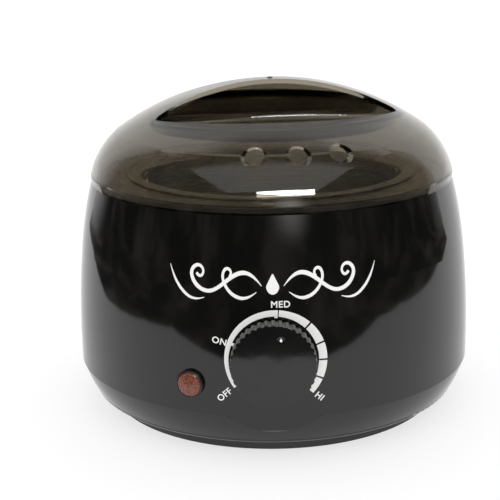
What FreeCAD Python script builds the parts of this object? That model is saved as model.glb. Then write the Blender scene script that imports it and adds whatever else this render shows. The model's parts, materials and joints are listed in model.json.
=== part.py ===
import FreeCAD, Part
import math
import os
import re

import Sketcher

# A tabletop wax warmer: a round housing on a lower shell, a heated well with a lift-out pot,
# a smoked lid, and a dial with its thermostat. Millimetres, +Z up, the dial faces -Y, and the
# origin is the bottom centre, on the surface that the feet stand on.

DIMENSIONS = {
    # outer housing
    "belly_radius": 90.55,
    "belly_height": 30.0,
    "belly_arc": 383.4,
    "waist_radius": 87.9,
    "waist_height": 75.0,
    "shoulder_arc": 202.0,
    "seam_radius": 82.4,
    "seam_height": 103.9,
    "crease_height": 21.5,
    "shell_wall": 2.3,
    "ledge_radius": 79.6,
    "upstand_radius": 77.8,
    "upstand_height": 105.9,
    "deck_height": 104.9,
    "deck_wall": 2.5,
    "groove_outer": 74.2,
    "groove_inner": 69.8,
    "groove_depth": 0.8,
    "collar_outer": 68.8,
    "collar_inner": 66.8,
    "collar_depth": 6.9,
    "edge_round": 0.6,
    # tongue of the housing below the dial
    "tongue_radius": 31.0,
    "tongue_gap": 0.3,
    "dial_height": 46.0,
    # lower shell
    "band_top_radius": 90.3,
    "band_arc": 46.0,
    "band_foot_radius": 85.0,
    "band_foot_height": 9.0,
    "band_edge_arc": 1.7,
    "band_under_radius": 83.3,
    "band_under_height": 7.4,
    "notch_start": 70.0,
    "foot_ring_radius": 76.4,
    "foot_ring_height": 1.0,
    "foot_ring_wall": 2.3,
    "floor_wall": 2.2,
    "register_radius": 87.9,
    "register_wall": 2.2,
    "register_height": 23.5,
    "slot_length": 16.0,
    "slot_half_width": 1.6,
    "slot_start": 26.0,
    "slot_count": 12.0,
    # bosses and base screws
    "boss_circle": 70.0,
    "boss_radius": 4.0,
    "boss_split": 24.0,
    "boss_top": 42.0,
    "rib_thick": 2.4,
    "rib_reach": 19.0,
    "pilot_radius": 1.3,
    "pilot_depth": 14.0,
    "clear_radius": 1.8,
    "counterbore_radius": 3.3,
    "counterbore_depth": 4.0,
    "screw_radius": 1.3,
    "screw_head_radius": 2.8,
    "screw_head_height": 1.8,
    "screw_length": 26.0,
    "screw_seat": 5.0,
    "screw_slot_width": 0.7,
    "screw_slot_depth": 0.8,
    # rubber feet
    "foot_circle": 60.0,
    "foot_radius": 6.5,
    "foot_recess": 1.2,
    "foot_gap": 0.1,
    "foot_round": 0.8,
    # heating well
    "well_radius": 61.4,
    "well_wall": 1.5,
    "well_bottom": 38.2,
    "well_corner": 8.0,
    "flange_radius": 77.4,
    "flange_wall": 1.0,
    "mouth_round": 1.4,
    "seal_gap": 0.1,
    "stud_radius": 2.5,
    "stud_bottom": 20.6,
    # wax pot
    "pot_wall": 1.2,
    "pot_bottom": 41.0,
    "pot_foot_radius": 51.5,
    "pot_corner": 6.0,
    "pot_side_foot_radius": 57.5,
    "pot_side_foot_height": 47.0,
    "pot_side_top_radius": 60.2,
    "pot_side_top_height": 104.2,
    "pot_neck_arc": 1.8,
    "pot_lip_radius": 66.0,
    "pot_lip_seat": 106.0,
    "pot_lip_top": 108.0,
    "pot_lip_round": 1.0,
    # bail and ears
    "pivot_height": 97.0,
    "bail_wire": 1.25,
    "bail_pin_end": 58.0,
    "bail_side": 48.0,
    "bail_leg": 9.0,
    "bail_reach": 26.0,
    "bail_rise": 27.0,
    "ear_outer": 58.1,
    "ear_thick": 1.0,
    "ear_width": 11.0,
    "ear_bottom": 92.5,
    "ear_top": 105.0,
    "ear_hole": 1.33,
    "rivet_radius": 1.3,
    "rivet_height": 101.8,
    "rivet_head_radius": 2.3,
    "rivet_head_thick": 0.5,
    "rivet_outside": 60.25,
    # lid
    "lid_wall": 2.3,
    "lid_rim_height": 107.0,
    "lid_shoulder_arc": 36.0,
    "lid_shoulder_radius": 70.0,
    "lid_crown_arc": 123.3,
    "lid_apex": 147.8,
    "lid_turn": 9.0,
    "recess_radius": 60.3,
    "recess_centre": 7.3,
    "fin_arc": 114.7,
    "fin_half_width": 4.5,
    "recess_floor": 129.0,
    "recess_corner": 4.0,
    "recess_round": 3.0,
    "vent_radius": 4.0,
    "vent_bevel_radius": 5.2,
    "vent_bevel_depth": 1.2,
    "vent_circle": 70.0,
    "vent_height": 126.0,
    "vent_step": 14.5,
    "vent_tilt": 35.0,
    "gate_radius": 1.6,
    "gate_height": 0.5,
    # knob and its spring clip
    "knob_radius": 17.4,
    "knob_back": 91.1,
    "knob_depth": 6.4,
    "knob_face_round": 0.45,
    "knob_cavity_radius": 15.0,
    "knob_cavity_depth": 4.6,
    "knob_hub_radius": 5.4,
    "knob_hub_recess": 1.7,
    "knob_bore_depth": 5.3,
    "knob_bore_flat": 2.5,
    "flute_radius": 0.95,
    "flute_inset": 0.4,
    "flute_count": 38,
    "clip_width": 3.4,
    "clip_length": 2.8,
    "clip_thick": 0.4,
    # thermostat
    "dial_boss_radius": 15.0,
    "dial_boss_plane": 85.5,
    "bush_hole_radius": 5.1,
    "bush_radius": 5.0,
    "bush_end": 92.6,
    "nut_plane": 90.6,
    "nut_radius": 7.2,
    "nut_thick": 1.9,
    "thermostat_width": 34.0,
    "thermostat_height": 28.0,
    "thermostat_depth": 14.0,
    "thermostat_round": 2.0,
    "terminal_tab_width": 6.3,
    "terminal_tab_thick": 0.8,
    "terminal_tab_length": 8.0,
    "shaft_radius": 3.0,
    "shaft_gap": 0.05,
    "shaft_seat": 8.0,
    "shaft_front": 96.2,
    "shaft_flat": 2.0,
    "shaft_flat_length": 3.5,
    "sensor_radius": 2.5,
    "sensor_length": 44.0,
    "sensor_height": 35.6,
    "sensor_place": -24.0,
    "sensor_clip_length": 5.0,
    "capillary_radius": 0.8,
    # heater
    "heater_gap": 0.1,
    "heater_wall": 2.0,
    "heater_bottom": 48.0,
    "heater_top": 84.0,
    "heater_split": 12.0,
    "heater_tab_angle": 8.5,
    "heater_tab_place": 67.7,
    "heater_tab_length": 5.0,
    "heater_tab_width": 4.0,
    "heater_tab_height": 53.6,
    "clamp_wall": 0.6,
    "clamp_bottom": 60.0,
    "clamp_top": 70.0,
    "clamp_split": 9.0,
    "clamp_ear": 8.0,
    "clamp_screw_radius": 1.5,
    "clamp_nut": 2.0,
    # well bracket
    "bracket_circle": 72.0,
    "bracket_bottom": 28.0,
    "bracket_thick": 2.0,
    "bracket_width": 14.0,
    "bracket_end": 77.0,
    "bracket_screw_length": 9.0,
    "well_nut_radius": 4.6,
    "well_nut_height": 4.0,
    "earth_tag_thick": 0.6,
    "earth_tag_width": 4.0,
    "earth_tag_reach": 11.0,
    "earth_nut_height": 2.6,
    # indicator lamp
    "lamp_side": 34.0,
    "lamp_height": 34.2,
    "bezel_radius": 5.9,
    "bezel_barrel_radius": 4.9,
    "bezel_flange": 1.5,
    "bezel_length": 13.0,
    "bezel_seat": 0.2,
    "bezel_bore_radius": 4.1,
    "lens_radius": 5.25,
    "lens_rise": 1.7,
    "lens_stem_radius": 3.95,
    "lens_stem_length": 9.0,
    "lens_wall": 0.8,
    "lens_seat": 0.8,
    "lens_round": 0.9,
    "lamp_hole_radius": 5.0,
    "neon_radius": 2.4,
    "neon_length": 9.0,
    "resistor_radius": 1.3,
    "resistor_length": 7.0,
    "resistor_gap": 1.0,
    # cord gland
    "gland_height": 34.0,
    "gland_face": 89.0,
    "gland_pad": 86.0,
    "gland_inner_plane": 78.0,
    "gland_bore": 3.6,
    "gland_barrel_radius": 6.0,
    "gland_hole_radius": 6.1,
    "gland_flange_radius": 8.6,
    "gland_flange_thick": 2.2,
    "gland_neck": 4.2,
    "gland_inner": 10.0,
    "gland_cap_radius": 8.0,
    "gland_cap_length": 8.6,
    "gland_cap_round": 2.0,
    "gland_seal_wall": 1.2,
    "locknut_radius": 9.0,
    "locknut_thick": 3.0,
    # terminal block and fuse
    "block_width": 30.0,
    "block_depth": 13.0,
    "block_height": 12.0,
    "block_place": 50.0,
    "block_bottom": 8.0,
    "block_wing": 2.4,
    "block_screw_spread": 21.0,
    "block_screw_bite": 4.0,
    "block_screw_radius": 1.9,
    "fuse_radius": 2.0,
    "fuse_length": 14.0,
    "sleeve_radius": 2.9,
    "sleeve_bore": 2.1,
    "sleeve_length": 20.0,
    "fuse_circle": 68.9,
    "fuse_angle": 62.0,
    "fuse_bottom": 50.0,
    # leads
    "lead_radius": 0.9,
    "lamp_lead_radius": 0.6,
    "bulb_leg": 2.2,
}

V = FreeCAD.Vector
UP = V(0, 0, 1)
FRONT = V(0, -1, 0)
BACK = V(0, 1, 0)
RIGHT = V(1, 0, 0)

DOC = FreeCAD.newDocument("wax_warmer_pot")
SHEET = DOC.addObject("Spreadsheet::Sheet", "dims")
NODES = []


def fill_sheet():
    for row, (name, number) in enumerate(DIMENSIONS.items(), 1):
        SHEET.set(f"A{row}", name)
        SHEET.set(f"B{row}", str(number))
        SHEET.setAlias(f"B{row}", name)
    DOC.recompute()


def bound(text):
    """Turns cell names in an expression into references to the sheet."""
    return re.sub(r"\b([a-z]\w+)\b(?!\()", r"dims.\1", str(text))


def size(text):
    """The present value of an expression of cell names."""
    return float(SHEET.evalExpression(bound(text)))


def bind(thing, **sizes):
    for prop, text in sizes.items():
        thing.setExpression(prop, bound(text))


def put(thing, spot, along=UP):
    """Places a thing so that its own Z axis starts at spot and points along."""
    thing.Placement = FreeCAD.Placement(spot, FreeCAD.Rotation(UP, along))
    return thing


def node(thing, label):
    thing.Label = label
    NODES.append(thing)
    return thing


# Primitives and booleans


def rod(radius, length, spot=V(), along=UP):
    cylinder = DOC.addObject("Part::Cylinder", "rod")
    bind(cylinder, Radius=radius, Height=length)
    return put(cylinder, spot, along)


def taper(foot_radius, top_radius, length, spot=V(), along=UP):
    cone = DOC.addObject("Part::Cone", "taper")
    bind(cone, Radius1=foot_radius, Radius2=top_radius, Height=length)
    return put(cone, spot, along)


def hexagon(radius, length, spot=V(), along=UP):
    prism = DOC.addObject("Part::Prism", "hexagon")
    prism.Polygon = 6
    bind(prism, Circumradius=radius, Height=length)
    return put(prism, spot, along)


def slab(wide, deep, high, middle, turn=0.0):
    """A box centred on middle in X and Y, standing on it, and turned about Z."""
    box = DOC.addObject("Part::Box", "slab")
    bind(box, Length=wide, Width=deep, Height=high)
    spin = FreeCAD.Rotation(UP, turn)
    corner = spin.multVec(V(-size(wide) / 2, -size(deep) / 2, 0))
    box.Placement = FreeCAD.Placement(middle + corner, spin)
    return box


def fuse(*things):
    union = DOC.addObject("Part::MultiFuse", "fuse")
    union.Shapes = list(things)
    union.Refine = True
    return union


def cut(base, *tools):
    remainder = DOC.addObject("Part::Cut", "cut")
    remainder.Base = base
    remainder.Tool = tools[0] if len(tools) == 1 else fuse(*tools)
    return remainder


def common(*things):
    overlap = DOC.addObject("Part::MultiCommon", "common")
    overlap.Shapes = list(things)
    return overlap


def group(*things):
    """Separate solids that share one node."""
    compound = DOC.addObject("Part::Compound", "group")
    compound.Links = list(things)
    return compound


def rounded(thing, radius, picks):
    """Rounds the edges of a thing that picks accepts."""
    DOC.recompute()
    smooth = DOC.addObject("Part::Fillet", "rounded")
    smooth.Base = thing
    edges = [i for i, edge in enumerate(thing.Shape.Edges, 1) if picks(edge)]
    smooth.Edges = [(i, size(radius), size(radius)) for i in edges]
    return smooth


# Sketches and turned bodies


def arc(start, stop, radius, side):
    """An arc from start to stop that turns left (+1) or right (-1)."""
    chord = stop - start
    left = V(-chord.y, chord.x, 0).normalize()
    reach = math.sqrt(radius**2 - (chord.Length / 2) ** 2)
    centre = (start + stop) / 2 + left * reach * side
    first, last = (start, stop) if side > 0 else (stop, start)
    angles = [math.atan2(p.y - centre.y, p.x - centre.x) for p in (first, last)]
    if angles[1] < angles[0]:
        angles[1] += 2 * math.pi
    return Part.ArcOfCircle(Part.Circle(centre, UP, radius), *angles)


def hold(sketch, kind, edge, *details, name, text):
    """Adds a constraint whose value is bound to the sheet."""
    sketch.addConstraint(Sketcher.Constraint(kind, *details, size(text)))
    index = sketch.ConstraintCount - 1
    sketch.renameConstraint(index, f"{name}{edge}")
    sketch.setExpression(f"Constraints.{name}{edge}", bound(text))


def pin(sketch, edge, point, x, y):
    """Holds one end of an edge at (x, y), two expressions."""
    for kind, name, axis, text in (("DistanceX", "across", -2, x), ("DistanceY", "up", -1, y)):
        if text == "0":
            sketch.addConstraint(Sketcher.Constraint("PointOnObject", edge, point, axis))
        else:
            hold(sketch, kind, edge, -1, 1, edge, point, name=name, text=text)


def draw(sketch, corners, closed=True):
    """Draws an outline through corners, each a pair of expressions of cell names.

    A corner may add a radius and a side, and the edge that leaves it is then an arc.
    """
    spots = [V(size(corner[0]), size(corner[1]), 0) for corner in corners]
    count = len(corners) if closed else len(corners) - 1
    ends = []
    for edge in range(count):
        start, stop = spots[edge], spots[(edge + 1) % len(spots)]
        if len(corners[edge]) == 2:
            sketch.addGeometry(Part.LineSegment(start, stop))
            ends.append((1, 2))
        else:
            radius, side = corners[edge][2:]
            sketch.addGeometry(arc(start, stop, size(radius), side))
            ends.append((1, 2) if side > 0 else (2, 1))
    for edge in range(count if closed else count - 1):
        follower = (edge + 1) % count
        joint = (edge, ends[edge][1], follower, ends[follower][0])
        sketch.addConstraint(Sketcher.Constraint("Coincident", *joint))
    for edge in range(count):
        pin(sketch, edge, ends[edge][0], *corners[edge][:2])
        if len(corners[edge]) > 2:
            hold(sketch, "Radius", edge, edge, name="bend", text=corners[edge][2])
    if not closed:
        last = count - 1
        for kind, name, value in (("DistanceX", "end_across", 0), ("DistanceY", "end_up", 1)):
            text = corners[-1][value]
            hold(sketch, kind, last, -1, 1, last, ends[last][1], name=name, text=text)


def new_body(name):
    return DOC.addObject("PartDesign::Body", name)


def new_sketch(body, plane, lift="0"):
    """A sketch on one of the body's own origin planes, lifted along its normal."""
    sketch = body.newObject("Sketcher::SketchObject", body.Name + "_sketch")
    planes = [face for face in body.Origin.OriginFeatures if face.Role == plane]
    sketch.AttachmentSupport = [(planes[0], "")]
    sketch.MapMode = "FlatFace"
    sketch.setExpression("AttachmentOffset.Base.z", bound(lift))
    return sketch


def turned(name, corners):
    """A body turned about its Z axis from an outline of (radius, height) corners."""
    body = new_body(name)
    sketch = new_sketch(body, "XZ_Plane")
    draw(sketch, corners)
    feature = body.newObject("PartDesign::Revolution", name + "_turn")
    feature.Profile = sketch
    feature.ReferenceAxis = (sketch, ["V_Axis"])
    feature.Angle = 360
    body.Tip = feature
    return body


def polar(radius, degrees, height=0.0):
    """A spot at a radius, an angle and a height; 0 degrees is the front, + is to the right."""
    bearing = math.radians(degrees)
    return V(radius * math.sin(bearing), -radius * math.cos(bearing), height)


# Housing and base

BASE_SCREW_ANGLES = (45, 135, 225, 315)
BRACKET_ANGLES = (90, 270)
FOOT_ANGLES = {"front_right": 35, "rear_right": 145, "rear_left": 215, "front_left": 325}


def boss_with_rib(degrees, bottom):
    """A screw boss under the deck, joined to the housing wall by a rib."""
    column = rod("boss_radius", f"boss_top - {bottom}", polar(size("boss_circle"), degrees, size(bottom)))
    middle = polar(size("boss_circle + rib_reach / 2"), degrees, size(bottom))
    rib = slab("rib_thick", "rib_reach", f"boss_top - {bottom}", middle, degrees)
    return [column, rib]


def lamp_frame():
    """The lamp's place on the wall, and the way it faces."""
    surface = size("belly_radius")
    side = size("lamp_side")
    outward = V(-side, -math.sqrt(surface**2 - side**2), 0)
    spot = outward + V(0, 0, size("lamp_height"))
    return spot, outward.normalize()


def outer_housing():
    shell = turned(
        "housing_shell",
        [
            ("belly_radius - edge_round", "dial_height - tongue_radius"),
            ("belly_radius", "dial_height - tongue_radius + edge_round"),
            ("belly_radius", "belly_height", "belly_arc", 1),
            ("waist_radius", "waist_height", "shoulder_arc", 1),
            ("seam_radius", "seam_height"),
            ("ledge_radius", "seam_height"),
            ("ledge_radius", "upstand_height"),
            ("upstand_radius", "upstand_height"),
            ("upstand_radius", "deck_height"),
            ("groove_outer", "deck_height"),
            ("groove_outer", "deck_height - groove_depth"),
            ("groove_inner", "deck_height - groove_depth"),
            ("groove_inner", "deck_height"),
            ("collar_inner", "deck_height"),
            ("collar_inner", "deck_height - collar_depth"),
            ("collar_outer", "deck_height - collar_depth"),
            ("collar_outer", "deck_height - deck_wall"),
            ("seam_radius - shell_wall", "deck_height - deck_wall", "shoulder_arc - shell_wall", -1),
            ("waist_radius - shell_wall", "waist_height", "belly_arc - shell_wall", -1),
            ("belly_radius - shell_wall", "belly_height"),
            ("belly_radius - shell_wall", "dial_height - tongue_radius"),
        ],
    )
    skirt = rod("belly_radius + shell_wall", "crease_height")
    tongue = rod("tongue_radius", "belly_radius + shell_wall", V(0, 0, size("dial_height")), FRONT)
    wall = cut(shell, cut(skirt, tongue))
    pad = rod("dial_boss_radius", "belly_radius - shell_wall / 2 - dial_boss_plane",
              V(0, -size("dial_boss_plane"), size("dial_height")), FRONT)
    ribs = []
    pilots = []
    for degrees in BASE_SCREW_ANGLES:
        ribs += boss_with_rib(degrees, "boss_split")
        foot = polar(size("boss_circle"), degrees, size("boss_split"))
        pilots.append(rod("pilot_radius", "pilot_depth", foot))
    for degrees in BRACKET_ANGLES:
        spot = polar(size("bracket_circle"), degrees, size("bracket_bottom + bracket_thick"))
        bottom = "(bracket_bottom + bracket_thick)"
        column = rod("boss_radius", f"boss_top - {bottom}", spot)
        middle = spot + polar(size("rib_reach - 2"), degrees) / 2
        ribs += [column, slab("rib_thick", "rib_reach - 2", f"boss_top - {bottom}", middle, degrees)]
        pilots.append(rod("pilot_radius", "bracket_screw_length", spot))
    lamp_spot, lamp_way = lamp_frame()
    holes = [
        rod("bush_hole_radius", "belly_radius", V(0, 0, size("dial_height")), FRONT),
        rod("lamp_hole_radius", "2 * bezel_length", lamp_spot - lamp_way * size("bezel_length"), lamp_way),
        rod("gland_hole_radius", "belly_radius", V(0, size("gland_inner"), size("gland_height")), BACK),
    ]
    seat_spot = V(0, size("gland_face"), size("gland_height"))
    gland_seat = rod("gland_flange_radius + 1", "belly_radius", seat_spot, BACK)
    pad_spot = V(0, size("gland_pad"), size("gland_height"))
    gland_pad = rod("gland_flange_radius + 1", "gland_face - gland_pad", pad_spot, BACK)
    return node(cut(fuse(wall, pad, gland_pad, *ribs), gland_seat, *holes, *pilots), "outer_housing")


def lower_shell():
    shell = turned(
        "lower_wall",
        [
            ("band_top_radius", "crease_height", "band_arc", -1),
            ("band_foot_radius", "band_foot_height", "band_edge_arc", -1),
            ("band_under_radius", "band_under_height"),
            ("foot_ring_radius", "band_under_height"),
            ("foot_ring_radius", "foot_ring_height"),
            ("0", "foot_ring_height"),
            ("0", "foot_ring_height + floor_wall"),
            ("foot_ring_radius - foot_ring_wall", "foot_ring_height + floor_wall"),
            ("foot_ring_radius - foot_ring_wall", "band_under_height + floor_wall"),
            ("band_under_radius - shell_wall", "band_under_height + floor_wall"),
            ("register_radius - register_wall", "crease_height - 2 * register_wall"),
            ("register_radius - register_wall", "register_height"),
            ("register_radius", "register_height"),
            ("register_radius", "crease_height"),
        ],
    )
    columns = []
    bores = []
    for degrees in BASE_SCREW_ANGLES:
        spot = polar(size("boss_circle"), degrees, size("foot_ring_height"))
        columns.append(rod("boss_radius", "boss_split - foot_ring_height", spot))
        bores.append(rod("clear_radius", "boss_split", spot))
        bores.append(rod("counterbore_radius", "counterbore_depth", spot))
    notch = rod("tongue_radius + tongue_gap", "belly_radius", V(0, 0, size("dial_height")), FRONT)
    ahead = V(0, -size("notch_start + belly_radius / 2"), 0)
    front_of_register = slab("4 * tongue_radius", "belly_radius", "seam_height", ahead)
    slots = []
    for number in range(int(size("slot_count"))):
        degrees = 360 * number / size("slot_count")
        middle = polar(size("slot_start + slot_length / 2"), degrees)
        slots.append(slab("2 * slot_half_width", "slot_length", "2 * floor_wall", middle, degrees))
    recesses = [
        rod("foot_radius", "foot_recess", polar(size("foot_circle"), degrees, size("foot_ring_height")))
        for degrees in FOOT_ANGLES.values()
    ]
    posts = []
    for side in (-1, 1):
        spot = V(side * size("block_screw_spread"), size("block_place"), size("foot_ring_height"))
        posts.append(rod("boss_radius", "block_bottom - foot_ring_height", spot))
        bores.append(rod("pilot_radius", "block_bottom", spot + UP * size("floor_wall")))
    solid = fuse(shell, *columns, *posts)
    return node(cut(solid, common(notch, front_of_register), *bores, *slots, *recesses), "lower_shell")


def feet():
    for place, degrees in FOOT_ANGLES.items():
        foot = turned(
            f"foot_{place}_turn",
            [
                ("0", "0"),
                ("foot_radius - foot_gap - foot_round", "0", "foot_round", 1),
                ("foot_radius - foot_gap", "foot_round"),
                ("foot_radius - foot_gap", "foot_ring_height + foot_recess"),
                ("0", "foot_ring_height + foot_recess"),
            ],
        )
        foot.Placement.Base = polar(size("foot_circle"), degrees)
        node(foot, f"foot_{place}")


def screw(radius, head_radius, head_height, length, spot, along):
    """A pan-head screw whose head starts at spot and whose shank points along."""
    head = rod(head_radius, head_height, spot, along)
    shank = rod(radius, f"{head_height} + {length}", spot, along)
    across = FreeCAD.Rotation(UP, along)
    slot = DOC.addObject("Part::Box", "screw_slot")
    bind(slot, Length=f"2 * {head_radius}", Width="screw_slot_width", Height="screw_slot_depth")
    corner = across.multVec(V(-size(head_radius), -size("screw_slot_width") / 2, 0))
    slot.Placement = FreeCAD.Placement(spot + corner, across)
    return cut(fuse(head, shank), slot)


def base_screws():
    spots = [polar(size("boss_circle"), a, size("screw_seat - screw_head_height")) for a in BASE_SCREW_ANGLES]
    sizes = ("screw_radius", "screw_head_radius", "screw_head_height", "screw_length")
    node(group(*[screw(*sizes, spot, UP) for spot in spots]), "base_screws")


# Heated well


def heating_well():
    bowl = turned(
        "well_bowl",
        [
            ("0", "well_bottom"),
            ("well_radius + well_wall - well_corner", "well_bottom", "well_corner", 1),
            ("well_radius + well_wall", "well_bottom + well_corner"),
            ("well_radius + well_wall", "deck_height"),
            ("flange_radius", "deck_height"),
            ("flange_radius", "deck_height + flange_wall"),
            ("well_radius + mouth_round", "deck_height + flange_wall", "mouth_round", 1),
            ("well_radius", "deck_height + flange_wall - mouth_round"),
            ("well_radius", "well_bottom + well_corner", "well_corner - well_wall", -1),
            ("well_radius + well_wall - well_corner", "well_bottom + well_wall"),
            ("0", "well_bottom + well_wall"),
        ],
    )
    stud = rod("stud_radius", "well_bottom + well_wall / 2 - stud_bottom", V(0, 0, size("stud_bottom")))
    node(fuse(bowl, stud), "heating_well")


def tube(outer, inner, length, spot=V(), along=UP):
    return cut(rod(outer, length, spot, along), rod(inner, length, spot, along))


def well_seal():
    spot = V(0, 0, size("deck_height - groove_depth"))
    node(tube("groove_outer - seal_gap", "groove_inner + seal_gap", "groove_depth", spot), "well_seal")


def heater():
    """A mica band heater round the well, its steel clamp and the clamp's screw, split at the back."""
    inner = "(well_radius + well_wall + heater_gap)"
    band = tube(f"{inner} + heater_wall", inner, "heater_top - heater_bottom", V(0, 0, size("heater_bottom")))
    split = slab("heater_split", "well_radius", "heater_top", V(0, size("well_radius"), 0))
    node(cut(band, split), "heater_band")

    inside = f"({inner} + heater_wall + heater_gap)"
    high = "clamp_top - clamp_bottom"
    strap = tube(f"{inside} + clamp_wall", inside, high, V(0, 0, size("clamp_bottom")))
    opening = slab("clamp_split", "well_radius", "heater_top", V(0, size("well_radius"), 0))
    ears = []
    holes = []
    for side in (-1, 1):
        across = side * size("(clamp_split + clamp_wall) / 2")
        spot = V(across, size(f"{inside} + clamp_wall / 2 + clamp_ear / 2"), size("clamp_bottom"))
        ears.append(slab("clamp_wall", "clamp_ear", high, spot))
    beyond = size(f"{inside} + clamp_ear * 0.6")
    middle = V(-size("clamp_split"), beyond, size("(clamp_bottom + clamp_top) / 2"))
    holes.append(rod("clamp_screw_radius + seal_gap", "2 * clamp_split", middle, RIGHT))
    node(cut(fuse(cut(strap, opening), *ears), *holes), "heater_clamp")

    start = middle + RIGHT * size("clamp_split / 2 - clamp_wall - screw_head_height")
    bolt = screw("clamp_screw_radius", "screw_head_radius", "screw_head_height",
                 "clamp_split + 2 * clamp_wall + clamp_nut + 1", start, RIGHT)
    nut_spot = middle + RIGHT * size("1.5 * clamp_split + clamp_wall")
    nut = hexagon("screw_head_radius", "clamp_nut", nut_spot, RIGHT)
    bore = rod("clamp_screw_radius + seal_gap", "clamp_nut", nut_spot, RIGHT)
    node(group(bolt, cut(nut, bore)), "clamp_screw_and_nut")


def heater_tabs():
    """The two terminals of the heater band, beside its split at the back."""
    tabs = []
    for side in (-1, 1):
        degrees = 180 - side * size("heater_tab_angle")
        middle = polar(size("heater_tab_place"), degrees, size("heater_tab_height"))
        tabs.append(slab("heater_tab_width", "heater_tab_length", "terminal_tab_thick", middle, degrees))
    node(group(*tabs), "heater_tabs")


def well_bracket():
    bar = slab("2 * bracket_end", "bracket_width", "bracket_thick", V(0, 0, size("bracket_bottom")))
    holes = [rod("stud_radius + seal_gap", "seam_height")]
    screws = []
    for degrees in BRACKET_ANGLES:
        spot = polar(size("bracket_circle"), degrees, size("bracket_bottom - screw_head_height"))
        holes.append(rod("screw_radius + seal_gap", "seam_height", polar(size("bracket_circle"), degrees)))
        sizes = ("screw_radius", "screw_head_radius", "screw_head_height", "bracket_screw_length")
        screws.append(screw(*sizes, spot, UP))
    node(cut(bar, *holes), "well_bracket")
    node(group(*screws), "bracket_screws")
    nut_spot = V(0, 0, size("bracket_bottom - well_nut_height"))
    nut = hexagon("well_nut_radius", "well_nut_height", nut_spot)
    stud_bore = rod("stud_radius + seal_gap", "seam_height")
    node(cut(nut, stud_bore), "well_nut")

    tag_spot = nut_spot - UP * size("earth_tag_thick")
    ring = rod("well_nut_radius", "earth_tag_thick", tag_spot)
    tail = slab("earth_tag_width", "earth_tag_reach", "earth_tag_thick",
                tag_spot + V(0, size("earth_tag_reach / 2"), 0))
    node(cut(fuse(ring, tail), stud_bore), "earth_tag")
    locknut = hexagon("well_nut_radius", "earth_nut_height", tag_spot - UP * size("earth_nut_height"))
    node(cut(locknut, stud_bore), "earth_nut")


# Pot and lid


def wax_pot():
    wall = "pot_wall"
    vessel = turned(
        "pot_vessel",
        [
            ("0", "pot_bottom"),
            ("pot_foot_radius", "pot_bottom", "pot_corner", 1),
            ("pot_side_foot_radius", "pot_side_foot_height"),
            ("pot_side_top_radius", "pot_side_top_height", "pot_neck_arc", -1),
            ("pot_side_top_radius + pot_neck_arc", "pot_lip_seat"),
            ("pot_lip_radius - pot_lip_round", "pot_lip_seat", "pot_lip_round", 1),
            ("pot_lip_radius", "pot_lip_seat + pot_lip_round", "pot_lip_round", 1),
            ("pot_lip_radius - pot_lip_round", "pot_lip_top"),
            ("pot_lip_radius - 2 * pot_lip_round", f"pot_lip_seat + {wall}"),
            ("pot_side_top_radius + pot_neck_arc", f"pot_lip_seat + {wall}", f"pot_neck_arc + {wall}", 1),
            (f"pot_side_top_radius - {wall}", "pot_side_top_height"),
            (f"pot_side_foot_radius - {wall}", "pot_side_foot_height", f"pot_corner - {wall}", -1),
            ("pot_foot_radius", f"pot_bottom + {wall}"),
            ("0", f"pot_bottom + {wall}"),
        ],
    )
    holes = [
        rod("rivet_radius + shaft_gap", "pot_lip_radius", V(0, 0, size("rivet_height")), RIGHT * side)
        for side in (-1, 1)
    ]
    node(cut(vessel, *holes), "wax_pot")


def pot_ears():
    rivets = []
    for side, name in ((-1, "left"), (1, "right")):
        middle = V(side * size("ear_outer - ear_thick / 2"), 0, size("ear_bottom"))
        plate = slab("ear_thick", "ear_width", "ear_top - ear_bottom", middle)
        way = RIGHT * side
        pivot = rod("ear_hole", "pot_lip_radius", V(0, 0, size("pivot_height")), way)
        rivet_hole = rod("rivet_radius + shaft_gap", "pot_lip_radius", V(0, 0, size("rivet_height")), way)
        node(cut(plate, pivot, rivet_hole), f"pot_ear_{name}")
        inside = V(side * size("ear_outer - ear_thick - rivet_head_thick"), 0, size("rivet_height"))
        outside = V(side * size("rivet_outside"), 0, size("rivet_height"))
        head = rod("rivet_head_radius", "rivet_head_thick", inside, way)
        tail = rod("rivet_head_radius", "rivet_head_thick", outside, way)
        length = "rivet_outside - ear_outer + ear_thick + 2 * rivet_head_thick"
        rivets.append(fuse(head, rod("rivet_radius", length, inside, way), tail))
    node(group(*rivets), "ear_rivets")


# Wires: straight runs joined by tangent arcs


def route(points, factor=0.45):
    """The edges of a route through points, with each corner rounded as far as its runs allow."""
    edges = []
    radii = []
    start = points[0]
    for before, corner, after in zip(points, points[1:], points[2:]):
        back = (before - corner).normalize()
        ahead = (after - corner).normalize()
        turn = math.pi - back.getAngle(ahead)
        reach = factor * min((before - corner).Length, (after - corner).Length)
        radius = reach / math.tan(turn / 2)
        radii.append(round(radius, 1))
        enter = corner + back * reach
        leave = corner + ahead * reach
        bisector = (back + ahead).normalize()
        middle = corner + bisector * (math.hypot(radius, reach) - radius)
        edges.append(Part.LineSegment(start, enter).toShape())
        edges.append(Part.Arc(enter, middle, leave).toShape())
        start = leave
    edges.append(Part.LineSegment(start, points[-1]).toShape())
    return edges, radii


def wire(label, points, radius):
    """A round wire along a route. Returns the feature and prints its bend radii."""
    edges, radii = route(points)
    spine = Part.Wire(edges)
    section = Part.Wire(Part.Circle(points[0], points[1] - points[0], radius).toShape())
    solid = spine.makePipeShell([section], True, False, 2)
    expected = math.pi * radius**2 * spine.Length
    print(f"{label}: bends {radii}, volume {solid.Volume / expected:.4f} of section times length")
    feature = DOC.addObject("Part::Feature", label)
    feature.Shape = solid
    return node(feature, label)


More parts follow.
